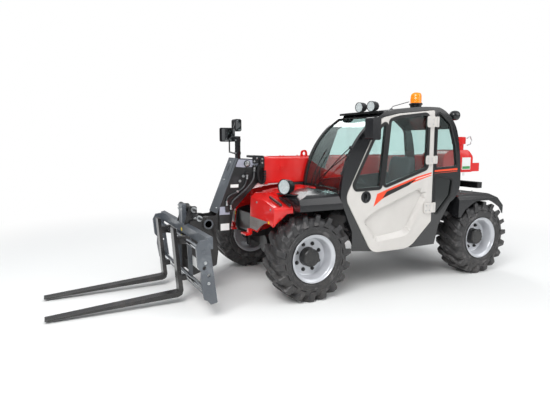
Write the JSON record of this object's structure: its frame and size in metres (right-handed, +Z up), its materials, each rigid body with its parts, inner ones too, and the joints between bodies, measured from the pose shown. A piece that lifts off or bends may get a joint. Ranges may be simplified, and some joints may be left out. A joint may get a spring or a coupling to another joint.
{
  "type": "telehandler",
  "caption": "Compact telescopic handler with side cab, telescoping boom, cranked boom head, wide fork carriage with sliding forks, lugged tyres and four-wheel steering.",
  "frame": {"origin": "on the ground, below the middle of the machine's box", "axes": "+X forwards, +Y to the machine's left, +Z up"},
  "size_m": [5.1008, 2.16, 2.115],
  "materials": {
    "amber": "clear amber lens",
    "body_red": "gloss red paint",
    "chrome": "hard chrome",
    "door_white": "gloss warm white paint",
    "engine": "cast",
    "fork_black": "satin black paint, worn",
    "frame_black": "satin black paint",
    "glass": "green-tinted safety glass",
    "grille_grey": "perforated, satin grey",
    "head_grey": "satin slate grey paint",
    "lamp_red": "clear red lens",
    "plastic_black": "moulded, fine grain",
    "rim_silver": "silver wheel enamel",
    "rubber": "hose cover",
    "seat_vinyl": "vinyl",
    "steel": "zinc-plated",
    "tyre": "moulded tread rubber"
  },
  "bodies": {
    "chassis": {"chassis_frame": "frame_black", "boom_pivot_pin": "steel", "front_nose": "body_red", "tail_weight": "frame_black", "front_axle": "frame_black", "rear_axle": "frame_black", "front_fenders": "plastic_black", "rear_fenders": "plastic_black", "engine_block": "engine", "engine_tray": "frame_black", "cab_frame": "frame_black", "cab_glass": "glass", "driver_seat": "seat_vinyl", "cab_controls": "plastic_black", "beacon": "amber", "mirror_left": "plastic_black", "mirror_right": "plastic_black", "headlamps": "plastic_black", "work_lamps": "plastic_black", "tail_lamps": "lamp_red", "rear_tank": "body_red", "nose_grilles": "grille_grey"},
    "door": {"door_shell": "door_white", "door_glass": "glass", "door_latch": "plastic_black"},
    "hood": {"engine_hood": "body_red"},
    "boom": {"boom_outer": "body_red"},
    "telescope": {"boom_inner": "body_red", "boom_head": "frame_black", "head_straps": "head_grey", "head_hoses": "rubber", "tilt_barrel": "frame_black"},
    "tilt_rocker": {"tilt_rocker": "frame_black"},
    "tilt_rod": {"tilt_rod": "chrome"},
    "carriage": {"quick_coupler": "frame_black", "fork_carriage": "head_grey", "carriage_shafts": "chrome", "shift_cylinders": "frame_black"},
    "fork_left": {"fork_left": "fork_black"},
    "fork_right": {"fork_right": "fork_black"},
    "lift_barrel": {"lift_barrel": "frame_black"},
    "lift_rod": {"lift_rod": "chrome"},
    "knuckle_fl": {"knuckle_fl": "frame_black"},
    "wheel_fl": {"rim_fl": "rim_silver", "tyre_fl": "tyre"},
    "knuckle_fr": {"knuckle_fr": "frame_black"},
    "wheel_fr": {"rim_fr": "rim_silver", "tyre_fr": "tyre"},
    "knuckle_rl": {"knuckle_rl": "frame_black"},
    "wheel_rl": {"rim_rl": "rim_silver", "tyre_rl": "tyre"},
    "knuckle_rr": {"knuckle_rr": "frame_black"},
    "wheel_rr": {"rim_rr": "rim_silver", "tyre_rr": "tyre"}
  },
  "joints": [
    {"name": "steer_fl", "type": "hinge", "parent": "chassis", "child": "knuckle_fl", "pos_m": [0.18, 0.65, 0.43036], "axis": [0, 0, 1], "range_deg": [-30, 30]},
    {"name": "spin_fl", "type": "hinge", "parent": "knuckle_fl", "child": "wheel_fl", "pos_m": [0.18, 0.7525, 0.43036], "axis": [0, 1, 0], "continuous": true},
    {"name": "steer_fr", "type": "hinge", "parent": "chassis", "child": "knuckle_fr", "pos_m": [0.18, -0.65, 0.43036], "axis": [0, 0, 1], "range_deg": [-30, 30]},
    {"name": "spin_fr", "type": "hinge", "parent": "knuckle_fr", "child": "wheel_fr", "pos_m": [0.18, -0.7525, 0.43036], "axis": [0, 1, 0], "continuous": true},
    {"name": "steer_rl", "type": "hinge", "parent": "chassis", "child": "knuckle_rl", "pos_m": [-2.12, 0.65, 0.43036], "axis": [0, 0, 1], "range_deg": [-30, 30]},
    {"name": "spin_rl", "type": "hinge", "parent": "knuckle_rl", "child": "wheel_rl", "pos_m": [-2.12, 0.7525, 0.43036], "axis": [0, 1, 0], "continuous": true},
    {"name": "steer_rr", "type": "hinge", "parent": "chassis", "child": "knuckle_rr", "pos_m": [-2.12, -0.65, 0.43036], "axis": [0, 0, 1], "range_deg": [-30, 30]},
    {"name": "spin_rr", "type": "hinge", "parent": "knuckle_rr", "child": "wheel_rr", "pos_m": [-2.12, -0.7525, 0.43036], "axis": [0, 1, 0], "continuous": true},
    {"name": "boom_lift", "type": "hinge", "parent": "chassis", "child": "boom", "pos_m": [-2.17, 0, 1.3], "axis": [0, -1, 0], "range_deg": [0, 66]},
    {"name": "boom_extend", "type": "slide", "parent": "boom", "child": "telescope", "axis": [1, 0, 0], "range_m": [0, 1.95]},
    {"name": "fork_levelling", "type": "hinge", "parent": "telescope", "child": "tilt_rocker", "pos_m": [1.011, 0, 0.728], "axis": [0, 1, 0], "range_deg": [0, 66.5]},
    {"name": "carriage_tilt", "type": "hinge", "parent": "tilt_rocker", "child": "carriage", "pos_m": [1.011, 0, 0.728], "axis": [0, 1, 0], "range_deg": [-12, 48]},
    {"name": "fork_slide_left", "type": "slide", "parent": "carriage", "child": "fork_left", "axis": [0, 1, 0], "range_m": [-0.215, 0.48]},
    {"name": "fork_slide_right", "type": "slide", "parent": "carriage", "child": "fork_right", "axis": [0, 1, 0], "range_m": [-0.43, 0.27]},
    {"name": "tilt_rod_slide", "type": "slide", "parent": "telescope", "child": "tilt_rod", "axis": [0.4607, 0, -0.8875], "range_m": [-0.1651, 0]},
    {"name": "lift_barrel_swing", "type": "hinge", "parent": "chassis", "child": "lift_barrel", "pos_m": [-1.85, 0, 0.48], "axis": [0, -1, 0], "range_deg": [0, 51.78]},
    {"name": "lift_rod_slide", "type": "slide", "parent": "lift_barrel", "child": "lift_rod", "axis": [0.9088, 0, 0.4172], "range_m": [0, 0.8928]},
    {"name": "cab_door", "type": "hinge", "parent": "chassis", "child": "door", "pos_m": [-1.315, 0.892, 1.2], "axis": [0, 0, 1], "range_deg": [0, 100]},
    {"name": "engine_hood", "type": "hinge", "parent": "chassis", "child": "hood", "pos_m": [-0.95, -0.2, 1.185], "axis": [-1, 0, 0], "range_deg": [0, 55]}
  ],
  "couplings": [
    {"joint": "steer_fr", "follows": "steer_fl", "ratio": 1},
    {"joint": "steer_rr", "follows": "steer_rl", "ratio": 1},
    {"joint": "fork_levelling", "follows": "boom_lift", "ratio": 1},
    {"joint": "tilt_rod_slide", "follows": "boom_lift", "m_per_rad": -0.1416},
    {"joint": "lift_barrel_swing", "follows": "boom_lift", "ratio": 0.777},
    {"joint": "lift_rod_slide", "follows": "boom_lift", "m_per_rad": 0.77335}
  ]
}
